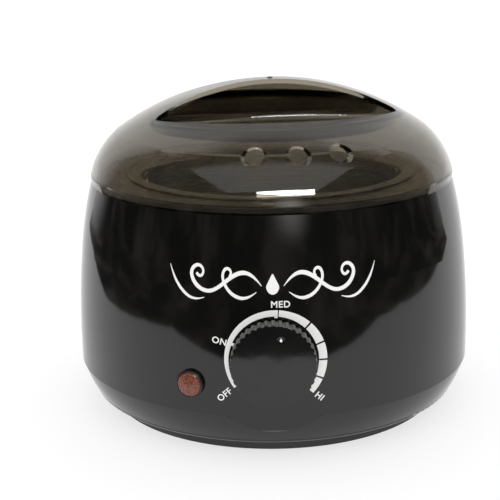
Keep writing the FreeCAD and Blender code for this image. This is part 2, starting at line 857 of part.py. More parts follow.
def bail_handle():
    """A low wire bail, hooked through both ears and lying towards the front."""
    side, leg, rise, reach = (size(f"bail_{part}") for part in ("side", "leg", "rise", "reach"))
    half = [V(size("bail_pin_end"), 0), V(side, 0), V(side, -leg), V(reach, -rise)]
    points = [V(-p.x, p.y) for p in half] + half[::-1]
    handle = wire("bail_handle", points, size("bail_wire"))
    handle.Placement.Base = V(0, 0, size("pivot_height"))


def dome(name, inset, bottom, top):
    """The lid's dome as a solid, with its surface moved in by inset; its crown is part of a sphere."""
    crown = f"(lid_crown_arc - {inset})"
    lean = "(lid_shoulder_radius / lid_crown_arc)"
    return turned(
        name,
        [
            ("0", bottom),
            (f"seam_radius - {inset}", bottom),
            (f"seam_radius - {inset}", "lid_rim_height", f"lid_shoulder_arc - {inset}", 1),
            (f"{crown} * {lean}", f"lid_apex - lid_crown_arc + {crown} * sqrt(1 - {lean} ^ 2)", crown, 1),
            *top,
        ],
    )


def recess(side, grow):
    """One of the two finger recesses beside the bridge, grown by a wall."""
    floor = f"recess_floor - {grow}"
    high = f"lid_apex - ({floor})"
    spot = V(0, side * size("recess_centre"), size(floor))
    rim = rod(f"recess_radius + {grow}", high, spot)
    fin_middle = V(0, side * size("-fin_arc - fin_half_width"), size(floor))
    bowl = common(rim, rod(f"fin_arc + {grow}", high, fin_middle))
    upright = rounded(bowl, f"recess_corner + {grow}", lambda edge: edge.BoundBox.ZLength > size(high) / 2)
    height = size(floor)
    return rounded(upright, f"recess_round + {grow}", lambda edge: edge.BoundBox.ZMax < height + 0.01)


def lid():
    gate_foot = "lid_apex - lid_crown_arc + sqrt(lid_crown_arc ^ 2 - gate_radius ^ 2)"
    gate = [
        ("gate_radius", gate_foot),
        ("gate_radius / 2", "lid_apex + gate_height"),
        ("0", "lid_apex + gate_height"),
    ]
    outside = cut(dome("lid_outside", "0", "seam_height", gate), recess(1, "0"), recess(-1, "0"))
    hollow = dome("lid_inside", "lid_wall", "deck_height - deck_wall", [("0", "lid_apex - lid_wall")])
    inside = cut(hollow, recess(1, "lid_wall"), recess(-1, "lid_wall"))
    drills = []
    tilt = math.radians(size("vent_tilt"))
    for step in (-1, 0, 1):
        outward = polar(math.cos(tilt), step * size("vent_step"), math.sin(tilt))
        mouth = polar(size("vent_circle"), step * size("vent_step"), size("vent_height"))
        start = mouth - outward * size("2 * lid_wall")
        drills.append(rod("vent_radius", "4 * lid_wall", start, outward))
        bevel_start = mouth - outward * size("vent_bevel_depth")
        drills.append(taper("vent_radius", "2 * vent_bevel_radius - vent_radius", "2 * vent_bevel_depth",
                            bevel_start, outward))
    cover = cut(outside, inside, *drills)
    cover.Placement.Rotation = FreeCAD.Rotation(UP, size("lid_turn"))
    node(cover, "lid")


# Knob, thermostat and lamp


def facing(depth):
    """A spot on the dial's axis, at a depth in front of the origin."""
    return V(0, -size(depth), size("dial_height"))


def control_knob():
    """A fluted cap, hollow behind, whose hub takes the flatted shaft."""
    cap = turned(
        "knob_cap",
        [
            ("0", "knob_depth"),
            ("knob_radius - knob_face_round", "knob_depth", "knob_face_round", -1),
            ("knob_radius", "knob_depth - knob_face_round"),
            ("knob_radius", "0"),
            ("knob_cavity_radius", "0"),
            ("knob_cavity_radius", "knob_cavity_depth"),
            ("knob_hub_radius", "knob_cavity_depth"),
            ("knob_hub_radius", "knob_hub_recess"),
            ("0", "knob_hub_recess"),
        ],
    )
    sketch = new_sketch(cap, "XY_Plane")
    sketch.addGeometry(Part.Circle(V(size("knob_radius + flute_inset"), 0, 0), UP, size("flute_radius")))
    sketch.addConstraint(Sketcher.Constraint("PointOnObject", 0, 3, -1))
    hold(sketch, "DistanceX", 0, -1, 1, 0, 3, name="across", text="knob_radius + flute_inset")
    hold(sketch, "Radius", 0, 0, name="bend", text="flute_radius")
    flute = cap.newObject("PartDesign::Pocket", "flute")
    flute.Profile = sketch
    flute.Reversed = True
    bind(flute, Length="knob_depth")
    DOC.recompute()
    flutes = cap.newObject("PartDesign::PolarPattern", "flutes")
    flutes.Originals = [flute]
    flutes.Axis = (sketch, ["N_Axis"])
    flutes.Angle = 360
    bind(flutes, Occurrences="flute_count")
    cap.Tip = flutes
    bore = rod("shaft_radius + shaft_gap", "knob_bore_depth")
    beyond_flat = slab("4 * shaft_radius", "4 * shaft_radius", "knob_bore_depth",
                       V(0, size("knob_bore_flat + 2 * shaft_radius"), 0))
    knob = cut(cap, cut(bore, beyond_flat))
    put(knob, facing("knob_back"), FRONT)
    node(knob, "control_knob")


def thermostat():
    depth = size("thermostat_depth")
    front_plane = size("dial_boss_plane")
    middle = V(0, -(front_plane - depth / 2), size("dial_height - thermostat_height / 2"))
    case = slab("thermostat_width", "thermostat_depth", "thermostat_height", middle)
    case = rounded(case, "thermostat_round", lambda edge: edge.BoundBox.YLength > depth / 2)
    bush = rod("bush_radius", "bush_end - dial_boss_plane", facing("dial_boss_plane"), FRONT)
    shaft_bore = rod("shaft_radius + shaft_gap", "bush_end - dial_boss_plane + shaft_seat",
                     facing("dial_boss_plane - shaft_seat"), FRONT)
    tabs = []
    for side in (-1, 1):
        spot = V(side * size("thermostat_width / 4"), -(front_plane - depth / 2),
                 size("dial_height - thermostat_height / 2 - terminal_tab_length"))
        tabs.append(slab("terminal_tab_width", "terminal_tab_thick", "terminal_tab_length", spot))
    node(cut(fuse(case, bush), shaft_bore), "thermostat_body")
    node(group(*tabs), "thermostat_tabs")

    nut = hexagon("nut_radius", "nut_thick", facing("nut_plane"), FRONT)
    node(cut(nut, rod("bush_radius + shaft_gap", "nut_thick", facing("nut_plane"), FRONT)), "thermostat_nut")

    start = "(dial_boss_plane - shaft_seat + shaft_gap)"
    shaft = rod("shaft_radius", f"shaft_front - {start}", facing(start), FRONT)
    flat = slab("4 * shaft_radius", "shaft_flat_length", "2 * shaft_radius",
                facing("shaft_front - shaft_flat_length / 2") + UP * size("shaft_flat"))
    node(cut(shaft, flat), "thermostat_shaft")

    clip = slab("clip_width", "clip_length", "clip_thick",
                facing("shaft_front - clip_length / 2 - clip_thick") + UP * size("shaft_flat"))
    node(clip, "knob_spring_clip")


def sensor():
    """The thermostat's sensing bulb under the well, its clip, and the capillary tube between them."""
    height = size("sensor_height")
    half = size("sensor_length / 2")
    place = size("sensor_place")
    node(rod("sensor_radius", "sensor_length", V(-half, place, height), RIGHT), "sensor_bulb")
    points = [
        V(-half, place, height),
        V(-half - 9, place, height),
        V(-half - 13, place - 9, height - 4),
        V(-half - 9, place - 19, height - 6),
        V(-half + 2, place - 27, height - 7),
        V(-size("thermostat_width") / 4 + 4, -size("dial_boss_plane - thermostat_depth") + 6, height - 7),
        V(0, -size("dial_boss_plane - thermostat_depth / 2"), height - 7),
        V(0, -size("dial_boss_plane - thermostat_depth / 2"), size("dial_height - thermostat_height / 2")),
    ]
    wire("capillary_tube", points, size("capillary_radius"))
    clips = []
    for side in (-1, 1):
        spot = V(side * half / 2, place, height)
        start = spot - RIGHT * size("sensor_clip_length / 2")
        saddle = tube("sensor_radius + clip_thick + shaft_gap", "sensor_radius + shaft_gap",
                      "sensor_clip_length", start, RIGHT)
        above = slab("seam_height", "seam_height", "seam_height", V(0, 0, height))
        saddle = cut(saddle, above)
        walls = []
        for way in (-1, 1):
            offset = way * size("sensor_radius + shaft_gap + clip_thick / 2")
            root = spot + V(0, offset, 0)
            walls.append(slab("sensor_clip_length", "clip_thick", f"well_bottom - {height}", root))
        clips.append(fuse(saddle, *walls))
    node(group(*clips), "sensor_clips")


def indicator():
    spot, way = lamp_frame()
    bezel = turned(
        "bezel_ring",
        [
            ("bezel_bore_radius", "-bezel_length"),
            ("bezel_barrel_radius", "-bezel_length"),
            ("bezel_barrel_radius", "bezel_seat"),
            ("bezel_radius", "bezel_seat"),
            ("bezel_radius", "bezel_flange", "edge_round", 1),
            ("bezel_radius - edge_round", "bezel_flange + edge_round"),
            ("lens_radius + shaft_gap", "bezel_flange + edge_round"),
            ("lens_radius + shaft_gap", "lens_seat"),
            ("bezel_bore_radius", "lens_seat"),
        ],
    )
    node(put(bezel, spot, way), "indicator_bezel")
    lens = turned(
        "lens_dome",
        [
            ("0", "bezel_flange + lens_rise"),
            ("lens_radius - lens_round", "bezel_flange + lens_rise / 2", "lens_round", -1),
            ("lens_radius", "bezel_flange"),
            ("lens_radius", "lens_seat"),
            ("lens_stem_radius", "lens_seat"),
            ("lens_stem_radius", "-lens_stem_length"),
            ("lens_stem_radius - lens_wall", "-lens_stem_length"),
            ("lens_stem_radius - lens_wall", "lens_seat"),
            ("0", "lens_seat"),
        ],
    )
    node(put(lens, spot, way), "indicator_lens")
    bulb = turned(
        "bulb_glass",
        [
            ("0", "-lens_stem_length"),
            ("neon_radius", "-lens_stem_length"),
            ("neon_radius", "-lens_stem_length + neon_length - neon_radius", "neon_radius", 1),
            ("0", "-lens_stem_length + neon_length"),
        ],
    )
    node(put(bulb, spot, way), "neon_bulb")
    start = spot - way * size("lens_stem_length + resistor_gap + resistor_length")
    node(rod("resistor_radius", "resistor_length", start, way), "lamp_resistor")


def cord_gland():
    """The inlet of the mains cord: a gland through the rear wall, with its seal, cap and locknut."""
    height = size("gland_height")
    face = size("gland_face")
    inside = size("gland_inner_plane")
    barrel = rod("gland_barrel_radius", "gland_neck + gland_face - gland_inner_plane + gland_flange_thick",
                 V(0, inside, height), BACK)
    flange = hexagon("gland_flange_radius", "gland_flange_thick", V(0, face, height), BACK)
    bore = rod("gland_bore", "seam_height", V(0, inside, height), BACK)
    mouth = V(0, face + size("gland_flange_thick"), height)
    seat = rod("gland_bore + gland_seal_wall", "gland_neck", mouth, BACK)
    node(cut(fuse(barrel, flange), bore, seat), "gland_body")

    seal_spot = V(0, face + size("gland_flange_thick"), height)
    node(tube("gland_bore + gland_seal_wall", "gland_bore", "gland_neck", seal_spot, BACK), "gland_seal")

    cap = turned(
        "gland_cap_turn",
        [
            ("gland_barrel_radius + shaft_gap", "0"),
            ("gland_cap_radius", "0"),
            ("gland_cap_radius", "gland_cap_length - gland_cap_round", "gland_cap_round", 1),
            ("gland_cap_radius - gland_cap_round", "gland_cap_length"),
            ("gland_bore", "gland_cap_length"),
            ("gland_bore", "gland_neck"),
            ("gland_barrel_radius + shaft_gap", "gland_neck"),
        ],
    )
    put(cap, seal_spot, BACK)
    node(cap, "gland_cap")

    nut_spot = V(0, size("gland_pad - locknut_thick"), height)
    nut = hexagon("locknut_radius", "locknut_thick", nut_spot, BACK)
    node(cut(nut, rod("gland_barrel_radius + shaft_gap", "locknut_thick", nut_spot, BACK)), "gland_locknut")


def terminals():
    """The terminal block on its two posts, and the thermal fuse in its sleeve beside the heater."""
    middle = V(0, size("block_place"), size("block_bottom"))
    base = slab("block_width", "block_depth", "block_height", middle)
    wings = slab("2 * block_screw_spread + 2 * boss_radius", "2 * boss_radius", "block_wing", middle)
    cells = []
    for step in (-1, 0, 1):
        spot = middle + V(step * size("block_width / 3"), 0, size("block_height / 2"))
        cells.append(rod("block_screw_radius", "block_height", spot))
        cells.append(rod("lead_radius + shaft_gap", "block_depth",
                         spot + V(0, -size("block_depth / 2"), -size("block_height / 5")), BACK))
    holes = []
    screws = []
    for side in (-1, 1):
        spot = middle + V(side * size("block_screw_spread"), 0, 0)
        holes.append(rod("screw_radius + seal_gap", "block_height", spot))
        top = spot + UP * size("block_wing + screw_head_height")
        screws.append(screw("screw_radius", "screw_head_radius", "screw_head_height",
                            "block_wing + block_screw_bite", top, -UP))
    node(cut(fuse(base, wings), *cells, *holes), "terminal_block")
    node(group(*screws), "terminal_screws")
    clamps = []
    for step in (-1, 0, 1):
        spot = middle + V(step * size("block_width / 3"), 0, size("block_height / 2"))
        clamps.append(rod("block_screw_radius - shaft_gap", "block_height / 3", spot))
    node(group(*clamps), "terminal_clamps")

    spot = polar(size("fuse_circle"), size("fuse_angle"), size("fuse_bottom"))
    node(tube("sleeve_radius", "sleeve_bore", "sleeve_length", spot), "fuse_sleeve")
    inside = spot + UP * size("(sleeve_length - fuse_length) / 2")
    node(rod("fuse_radius", "fuse_length", inside), "thermal_fuse")


def leads():
    """The internal leads, from terminal to terminal. Their routes are chosen by hand."""
    thick = size("lead_radius")
    tab_side = size("thermostat_width / 4")
    tab_place = -size("dial_boss_plane - thermostat_depth / 2")
    tab_end = size("dial_height - thermostat_height / 2 - terminal_tab_length")
    cell = size("block_width / 3")
    front_of_block = size("block_place - block_depth / 2")
    cell_height = size("block_bottom + 0.3 * block_height")
    fuse_place = [size("fuse_circle"), size("fuse_angle")]
    fuse_foot = size("fuse_bottom + (sleeve_length - fuse_length) / 2")
    fuse_head = fuse_foot + size("fuse_length")
    tab_angle = size("heater_tab_angle")
    tab_rim = size("heater_tab_place + heater_tab_length / 2 + seal_gap")
    tab_level = size("heater_tab_height + terminal_tab_thick / 2")
    tag_level = size("bracket_bottom - well_nut_height - earth_tag_thick / 2")
    lamp_spot, lamp_way = lamp_frame()
    resistor_end = lamp_spot - lamp_way * size("lens_stem_length + resistor_gap + resistor_length")
    bulb_foot = lamp_spot - lamp_way * size("lens_stem_length") + UP.cross(lamp_way) * size("bulb_leg")

    wire("lead_live", [
        V(cell, front_of_block, cell_height),
        V(cell, 34, 11),
        V(6, 10, 8.5),
        V(-2, -20, 8),
        V(-7, -46, 8.5),
        V(-8.5, -66, 10),
        V(-8.5, -76, 14),
        V(-tab_side, tab_place, 19),
        V(-tab_side, tab_place, tab_end),
    ], thick)
    wire("lead_switched", [
        V(tab_side, tab_place, tab_end),
        V(tab_side, tab_place, 19),
        V(14, -77.5, 14.5),
        polar(79, 20, 13),
        polar(79, 33, 13.5),
        polar(79, 46, 15),
        polar(76, 55, 21),
        polar(71, 61, 31),
        V(*polar(*fuse_place, 41)),
        V(*polar(*fuse_place, fuse_foot)),
    ], thick)
    wire("lead_heater", [
        V(*polar(*fuse_place, fuse_head)),
        V(*polar(*fuse_place, 76)),
        polar(72, 72, 83),
        polar(75, 90, 83),
        polar(76, 110, 77),
        polar(76, 130, 69),
        polar(76, 148, 60),
        polar(79, 162, 54.5),
        polar(77, 180 - tab_angle, tab_level),
        polar(tab_rim, 180 - tab_angle, tab_level),
    ], thick)
    wire("lead_neutral", [
        polar(tab_rim, 180 + tab_angle, tab_level),
        polar(77, 180 + tab_angle, tab_level),
        polar(79, 193, 46),
        polar(77, 198, 34),
        polar(75, 199, 23),
        V(-19, 66, 15),
        V(-11.5, 62, 12),
        V(-cell, size("block_place + block_depth / 2"), cell_height),
    ], thick)
    wire("lead_earth", [
        V(0, front_of_block, cell_height),
        V(0, 36, 12.5),
        V(0, 28, 18),
        V(0, 19, tag_level),
        V(0, size("earth_tag_reach + seal_gap"), tag_level),
    ], thick)
    wire("lead_lamp_neutral", [
        resistor_end,
        resistor_end - lamp_way * 5,
        V(-24.5, -56, 25),
        V(-22, -42, 13),
        V(-17, -16, 9),
        V(-11, 12, 9.5),
        V(-cell, 34, 11.2),
        V(-cell, front_of_block, cell_height),
    ], thick)
    wire("lead_lamp_live", [
        bulb_foot,
        bulb_foot - lamp_way * 9,
        V(-20, -66, 25),
        V(-9, -66, 19.5),
        V(4, -67, 18),
        V(16, -71, 20),
        V(20.5, -77, 25),
        V(16, tab_place, 27.5),
        V(size("thermostat_width / 4 + terminal_tab_width / 2"), tab_place, 27.5),
    ], size("lamp_lead_radius"))


def build():
    fill_sheet()
    outer_housing()
    lower_shell()
    feet()
    base_screws()
    heating_well()
    well_seal()
    heater()
    heater_tabs()
    well_bracket()
    wax_pot()
    pot_ears()
    bail_handle()
    lid()
    control_knob()
    thermostat()
    sensor()
    indicator()
    cord_gland()
    terminals()
    leads()
    DOC.recompute()


def check():
    """Stops on any object that failed, and on any empty or invalid sub-part."""
    for thing in DOC.Objects:
        if "Invalid" in thing.State or "Error" in thing.State:
            raise RuntimeError(f"{thing.Name} ({thing.Label}) is {thing.State}")
    for thing in NODES:
        if thing.Shape.isNull() or not thing.Shape.isValid() or not thing.Shape.Solids:
            raise RuntimeError(f"{thing.Label} has no valid solid")


def write():
    os.makedirs("parts", exist_ok=True)
    for thing in NODES:
        thing.Shape.exportStep(f"parts/{thing.Label}.step")
    print(f"{len(NODES)} nodes written")


build()
check()
write()
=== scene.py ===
import json
import math

import bmesh
import bpy
from mathutils import Matrix, Vector
from mathutils.bvhtree import BVHTree


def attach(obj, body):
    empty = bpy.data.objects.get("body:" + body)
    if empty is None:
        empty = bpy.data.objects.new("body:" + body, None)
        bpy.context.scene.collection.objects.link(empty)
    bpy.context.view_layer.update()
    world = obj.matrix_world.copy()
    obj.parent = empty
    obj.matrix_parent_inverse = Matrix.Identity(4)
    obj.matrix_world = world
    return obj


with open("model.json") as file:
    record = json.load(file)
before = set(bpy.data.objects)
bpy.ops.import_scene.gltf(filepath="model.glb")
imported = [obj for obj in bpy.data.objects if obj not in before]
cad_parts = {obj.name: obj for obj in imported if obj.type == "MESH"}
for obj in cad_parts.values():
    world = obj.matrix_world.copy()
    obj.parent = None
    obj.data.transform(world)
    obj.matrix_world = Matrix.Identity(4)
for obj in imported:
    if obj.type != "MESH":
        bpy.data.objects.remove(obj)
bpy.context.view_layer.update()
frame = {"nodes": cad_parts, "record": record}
NODES = frame["nodes"]
MM = 0.001


# The dial and its prints, in degrees clockwise from the top. A gap is its angle and half its width, and
# a tick is its two angles and its inner radius. A word is its name, its letters, its middle beside the
# knob's axis and its turn. A stroke of the ornament is points of x, z and a share of its thickness.
# Tables and shapes are in millimetres

KNOB_AXIS = Vector((0.0, 0.0, 46.0)) * MM
KNOB_FACE = -97.5 * MM
MARK = KNOB_AXIS + Vector((3.0, 0.0, 10.9)) * MM
MARK_RADIUS = 0.55
DIAL = Vector((0.85, 0.0, 45.9)) * MM
INK = 0.1 * MM
SCALE_GUIDE = 18.0 * MM
SCALE_OUTER = 20.8 * MM
SCALE_ENDS = (-125.0, 134.0)
SCALE_GAPS = ((3.6, 0.6), (43.0, 1.1), (70.0, 1.1), (91.4, 1.1), (114.0, 1.1))
SCALE_TICKS = ((-71.5, -67.5, 17.6), (-1.0, 3.0, 17.6), (-125.0, -122.5, 18.6))
WORD_SIZE = 3.7 * MM
WORDS = (
    ("word_med", "MED", 3.0, 22.9, 0.0),
    ("word_on", "ON", -21.8, 7.3, -13.0),
    ("word_off", "OFF", -20.1, -15.4, 42.0),
    ("word_hi", "HI", 18.4, -16.3, -40.0),
)
ORNAMENT_MIDDLE = 77.0 * MM
DROP_RADIUS = 2.6
STROKE_RADIUS = 0.55
ORNAMENT = (
    ((4.4, 76.5, 0.2), (8, 80.5, 1.1), (13, 81.5, 1.5), (19, 77.5, 1.2), (25, 73.5, 1.1), (31, 75.5, 1.4),
     (33.5, 80.5, 1.3), (29.5, 83.5, 1.0), (26.5, 80.5, 0.8), (29.2, 78.2, 0.9), (30.4, 80.0, 1.0)),
    ((6.5, 74.6, 0.2), (10, 72.2, 0.9), (14.5, 72.4, 1.2), (18.5, 75.2, 1.0), (20.6, 79.6, 1.0),
     (18.2, 83.0, 1.0), (15.8, 80.8, 0.8), (17.2, 79.2, 0.9)),
    ((27.5, 72.2, 0.2), (32, 70.8, 0.8), (36.5, 73.2, 1.1), (39.8, 77.5, 0.9), (41.2, 82.0, 0.15)),
)

# The dim room's foot, as x and y in millimetres, and for each level above it how much wider it is,
# how many millimetres higher, and how steeply its sides rise past that
ROOM_OUTLINE = (
    (-400, 420), (-420, 260), (-330, 60), (-305, -120), (-262, -215), (-120, -229), (120, -229),
    (300, -222), (390, -150), (450, 60), (560, 300),
)
ROOM_LEVELS = ((1.6, 0.0, 0.0), (1.25, 60.0, 0.0), (1.05, 230.0, 1.25))


# Shader maths


class Value:
    """A socket's value in a paint, on which Python's arithmetic adds Math nodes."""

    def __init__(self, paint, socket):
        self.paint = paint
        self.socket = socket

    def math(self, operation, *values):
        return self.paint.add("ShaderNodeMath", {"operation": operation}, *values)[0]

    def __add__(self, other):
        return self.math("ADD", self, other)

    def __sub__(self, other):
        return self.math("SUBTRACT", self, other)

    def __rsub__(self, other):
        return self.math("SUBTRACT", other, self)

    def __mul__(self, other):
        return self.math("MULTIPLY", self, other)

    def __pow__(self, other):
        return self.math("POWER", self, other)

    __radd__ = __add__
    __rmul__ = __mul__

    def sine(self):
        return self.math("SINE", self)

    def ramp(self, low, high, start=0.0, end=1.0):
        """start below low, end above high, and smooth between them."""
        settings = {"interpolation_type": "SMOOTHSTEP"}
        return self.paint.add("ShaderNodeMapRange", settings, self, low, high, start, end)[0]


class Paint:
    """A material whose nodes all come from one method."""

    def __init__(self, name):
        self.material = bpy.data.materials.new(name)
        self.material.use_nodes = True
        self.tree = self.material.node_tree
        self.shader = self.tree.nodes["Principled BSDF"]
        self.place = self.add("ShaderNodeTexCoord")[3]

    def add(self, kind, settings=None, *inputs, **named):
        """A node of that kind: its settings first, then its inputs, in order or by name."""
        node = self.tree.nodes.new(kind)
        for key, setting in (settings or {}).items():
            setattr(node, key, setting)
        for key, given in [*enumerate(inputs), *named.items()]:
            self.feed(node.inputs[key], given)
        return [Value(self, socket) for socket in node.outputs]

    def feed(self, socket, given):
        if isinstance(given, Value):
            self.tree.links.new(given.socket, socket)
        elif given is not None:
            socket.default_value = (*given, 1.0) if socket.type == "RGBA" else given

    def set(self, **sockets):
        """Sets the shader's own sockets, such as base_color or coat_weight."""
        for key, given in sockets.items():
            name = "IOR" if key == "ior" else key.replace("_", " ").title()
            self.feed(self.shader.inputs[name], given)
        return self.material

    def noise(self, scale, detail=3.0, roughness=0.5, where=None):
        """Clouds from 0 to 1, about 1 / scale metres across."""
        sockets = {"Vector": where or self.place, "Scale": scale, "Detail": detail, "Roughness": roughness}
        return self.add("ShaderNodeTexNoise", None, **sockets)[0]

    def cells(self, scale, where=None):
        """Distance to the nearest of many scattered points."""
        sockets = {"Vector": where or self.place, "Scale": scale}
        return self.add("ShaderNodeTexVoronoi", None, **sockets)[0]

    def stretched(self, x, y, z, turned=(0.0, 0.0, 0.0)):
        """The place on the piece, turned and with each axis scaled."""
        sockets = {"Vector": self.place, "Rotation": turned, "Scale": (x, y, z)}
        return self.add("ShaderNodeMapping", None, **sockets)[0]

    def axes(self, where=None):
        """x, y and z of a spot."""
        return self.add("ShaderNodeSeparateXYZ", None, where or self.place)[:3]

    def joined(self, x, y, z):
        return self.add("ShaderNodeCombineXYZ", None, x, y, z)[0]

    def mix(self, share, first, second):
        """The first colour where share is 0, the second where it is 1."""
        settings = {"data_type": "RGBA"}
        return self.add("ShaderNodeMix", settings, share, None, None, None, None, None, first, second)[2]

    def bump(self, height, distance, strength=1.0):
        """A normal from a height of 0 to 1 that stands for a distance in metres."""
        return self.add("ShaderNodeBump", None, Strength=strength, Distance=distance, Height=height)[0]


# Finishes


def hairlines(paint, turned, share=0.7):
    """Fine scratches that run one way, as a mask."""
    where = paint.stretched(70, 1600, 1600, turned)
    return paint.noise(1.0, 2.0, where=where).ramp(share, share + 0.05)


def dust(paint, scale, size):
    """Scattered specks of dust, as a mask."""
    speck = paint.cells(scale).ramp(size, 0.4 * size)
    return speck * paint.noise(22, 2.0).ramp(0.5, 0.62)


def gloss_black():
    """Polished black ABS: a faint moulding ripple, hairlines, and dust that shows as pale specks."""
    paint = Paint("gloss_black")
    hairs = hairlines(paint, (0.3, 0.5, 0.9)) + hairlines(paint, (1.2, 0.2, 0.4), 0.72)
    specks = dust(paint, 330, 0.055)
    smear = paint.noise(16, 5.0, 0.6)
    return paint.set(
        base_color=paint.mix(specks, (0.004, 0.004, 0.0038), (0.13, 0.12, 0.10)),
        roughness=0.05 + 0.05 * smear + 0.1 * hairs + 0.4 * specks,
        normal=paint.bump(paint.noise(48, 2.0) + 0.012 * hairs, 0.05 * MM),
        ior=1.54,
    )


def knob_black():
    """The same black, polished on the knob's face round a dimpled mark, and satin on its fluted side,
    whose colour is also painted paler as a painted sheen.
    """
    paint = Paint("knob_black")
    x, y, z = paint.axes()
    side = y.ramp(KNOB_FACE + 0.1 * MM, KNOB_FACE + 0.5 * MM)
    from_mark = ((x - MARK.x) ** 2 + (z - MARK.z) ** 2) ** 0.5
    dimple = from_mark.ramp(0.9 * MM, 1.7 * MM)
    specks = dust(paint, 500, 0.06)
    ripple = paint.noise(130, 1.0) + 0.1 * hairlines(paint, (0.1, 0.8, 0.2))
    return paint.set(
        # The pale colour marks dust specks, and over the whole fluted side it is a painted sheen, not a
        # paler plastic.
        base_color=paint.mix(specks + 0.6 * side, (0.005, 0.005, 0.005), (0.10, 0.095, 0.085)),
        roughness=0.05 + 0.3 * side + 0.04 * paint.noise(90, 4.0) + 0.3 * specks,
        normal=paint.bump(ripple + 2.0 * dimple, 0.05 * MM),
        ior=1.54,
    )


def smoked_clear():
    """Smoke-tinted clear styrene, with the slow ripple of its mould and light scuffs."""
    paint = Paint("smoked_clear")
    scuffs = hairlines(paint, (0.2, 0.4, 0.7), 0.74)
    haze = paint.noise(26, 4.0)
    return paint.set(
        base_color=paint.mix(haze, (0.30, 0.272, 0.222), (0.26, 0.234, 0.188)),
        roughness=0.004 + 0.012 * haze + 0.06 * scuffs,
        normal=paint.bump(paint.noise(30, 2.0) + 0.02 * scuffs, 0.06 * MM),
        ior=1.52,
        transmission_weight=1.0,
    )


def aluminium():
    """Metal spun about the upright axis, with the tool's fine rings and a cloudy tarnish."""
    paint = Paint("aluminium")
    x, y, z = paint.axes()
    rings = paint.noise(1500, 3.0, where=paint.joined((x * x + y * y) ** 0.5, z, 0.0))
    cloud = paint.noise(75, 5.0, 0.6)
    return paint.set(
        base_color=paint.mix(cloud, (0.86, 0.84, 0.80), (0.70, 0.68, 0.64)),
        roughness=0.16 + 0.14 * rings + 0.1 * cloud,
        normal=paint.bump(rings, 0.02 * MM),
        metallic=1.0,
    )


def drawn_metal(name, colour, dull, roughness, along=(1500, 60, 1500)):
    """Sheet, wire or a turned part, with a fine grain one way and a little tarnish."""
    paint = Paint(name)
    grain = paint.noise(1.0, 3.0, where=paint.stretched(*along))
    cloud = paint.noise(120, 5.0, 0.6)
    return paint.set(
        base_color=paint.mix(cloud.ramp(0.45, 0.75), colour, dull),
        roughness=roughness + 0.16 * grain + 0.1 * cloud,
        normal=paint.bump(grain, 0.015 * MM),
        metallic=1.0,
    )


def steel():
    return drawn_metal("steel", (0.62, 0.61, 0.59), (0.42, 0.40, 0.37), 0.24)


def stainless_wire():
    return drawn_metal("stainless_wire", (0.72, 0.71, 0.69), (0.58, 0.56, 0.54), 0.12, (60, 1500, 1500))


def brass():
    return drawn_metal("brass", (0.80, 0.60, 0.26), (0.50, 0.33, 0.14), 0.24)


def copper():
    return drawn_metal("copper", (0.80, 0.40, 0.23), (0.42, 0.19, 0.11), 0.28)


def moulded(name, colour, roughness, grain=0.03, pale=0.8):
    """A moulded or cast plastic or rubber with an eroded grain and slow changes of tone."""
    paint = Paint(name)
    cloud = paint.noise(90, 5.0, 0.6)
    specks = dust(paint, 600, 0.07)
    tone = paint.mix(cloud, colour, tuple(pale * part for part in colour))
    return paint.set(
        base_color=paint.mix(specks, tone, tuple(0.5 * part + 0.12 for part in colour)),
        roughness=roughness + 0.14 * cloud + 0.1 * specks,
        normal=paint.bump(paint.noise(1400, 3.0), grain * MM),
    )


def silicone():
    return moulded("silicone", (0.42, 0.065, 0.04), 0.5)


def black_rubber():
    return moulded("black_rubber", (0.016, 0.016, 0.016), 0.62, 0.06)


def phenolic():
    return moulded("phenolic", (0.05, 0.028, 0.018), 0.38)


def nylon_black():
    return moulded("nylon_black", (0.014, 0.014, 0.015), 0.36, 0.04)


def nylon_white():
    return moulded("nylon_white", (0.72, 0.70, 0.64), 0.42, 0.03, 0.9)


def mica():
    """Pressed mica sheet: pale flakes in a brown binder."""
    paint = Paint("mica")
    flakes = paint.cells(420, where=paint.stretched(1, 1, 0.5))
    return paint.set(
        base_color=paint.mix(flakes, (0.50, 0.42, 0.29), (0.24, 0.19, 0.13)),
        roughness=0.3 + 0.3 * flakes,
        normal=paint.bump(flakes, 0.05 * MM),
    )


def glass_fibre():
    """A braided white sleeve: two crossed sets of strands."""
    paint = Paint("glass_fibre")
    x, y, z = paint.axes()
    braid = ((x + y + z) * 5200).sine() * ((x + y - z) * 5200).sine()
    return paint.set(
        base_color=paint.mix(0.5 + 0.5 * braid, (0.46, 0.44, 0.37), (0.80, 0.77, 0.68)),
        roughness=0.7 + 0.1 * paint.noise(200, 3.0),
        normal=paint.bump(braid, 0.12 * MM),
    )


def amber_clear():
    """The lamp's lens: amber styrene with a pebbled back that breaks up the light."""
    paint = Paint("amber_clear")
    pebbles = paint.cells(1150)
    return paint.set(
        base_color=paint.mix(pebbles.ramp(0.1, 0.6), (0.27, 0.08, 0.044), (0.13, 0.034, 0.02)),
        roughness=0.10 + 0.08 * paint.noise(300, 3.0),
        normal=paint.bump(pebbles, 0.10 * MM),
        ior=1.55,
    )


def bulb_glass():
    paint = Paint("bulb_glass")
    return paint.set(
        base_color=paint.mix(paint.noise(300, 3.0), (0.92, 0.88, 0.84), (0.85, 0.78, 0.72)),
        roughness=0.03 + 0.05 * paint.noise(150, 3.0),
        ior=1.5,
        transmission_weight=1.0,
    )


def insulation(name, colour):
    """PVC over a wire, with a waxy bloom and the faint lay of the strands below."""
    paint = Paint(name)
    x, y, z = paint.axes()
    lay = ((x + y + 2 * z) * 2600).sine()
    bloom = paint.noise(160, 5.0)
    return paint.set(
        base_color=paint.mix(bloom, colour, tuple(0.75 * part + 0.03 for part in colour)),
        roughness=0.34 + 0.2 * bloom,
        normal=paint.bump(0.5 + 0.5 * lay, 0.03 * MM),
    )


def lead_brown():
    return insulation("lead_brown", (0.11, 0.045, 0.02))


def lead_blue():
    return insulation("lead_blue", (0.02, 0.075, 0.32))


